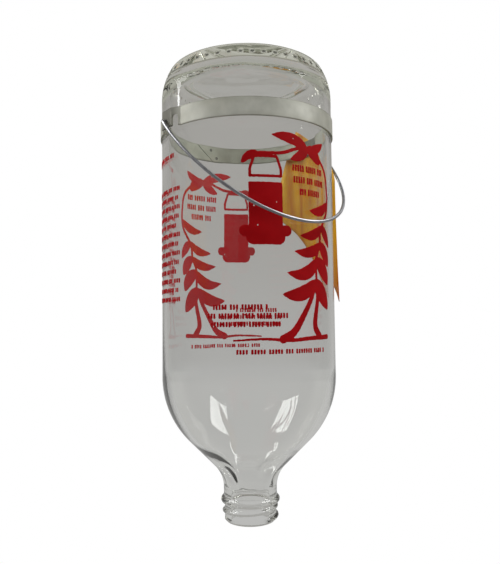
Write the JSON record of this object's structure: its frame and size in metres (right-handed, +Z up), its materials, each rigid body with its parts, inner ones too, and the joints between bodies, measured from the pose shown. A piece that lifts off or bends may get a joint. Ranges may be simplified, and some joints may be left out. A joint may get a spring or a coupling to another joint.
{
  "type": "hanging glass bottle with wire bail",
  "caption": "Inverted glass feeder bottle with a screw neck at the bottom, a steel band round its upper body, a swinging wire bail, a card hang tag and fired-on print.",
  "frame": {"origin": "centre of the bottle's mouth, at the neck's rim", "axes": "+Z up the bottle's axis towards its base, which is the top when it hangs; X along the bail's pivots; -Y the side the bail rests on"},
  "size_m": [0.1016, 0.0988, 0.2355],
  "materials": {
    "bottle_glass": "clear, glossy",
    "galvanised_steel": "dull galvanised",
    "rivet_steel": "dull",
    "steel_wire": "satin drawn wire",
    "tag_card": "coated card",
    "red_enamel": "fired enamel ink"
  },
  "bodies": {
    "bottle": {"glass_bottle": "bottle_glass", "hanger_band": "galvanised_steel", "band_rivets": "rivet_steel", "front_print": "red_enamel", "back_print": "red_enamel", "side_print": "red_enamel"},
    "bail": {"wire_bail": "steel_wire"},
    "tag": {"hang_tag": "tag_card"}
  },
  "joints": [
    {"name": "bail_swing", "type": "hinge", "parent": "bottle", "child": "bail", "pos_m": [0, 0, 0.201], "axis": [-1, 0, 0], "range_deg": [-2, 271]},
    {"name": "tag_swing", "type": "hinge", "parent": "bottle", "child": "tag", "pos_m": [0.0484, 0, 0.201], "axis": [1, 0, 0], "range_deg": [-3, 3]}
  ]
}
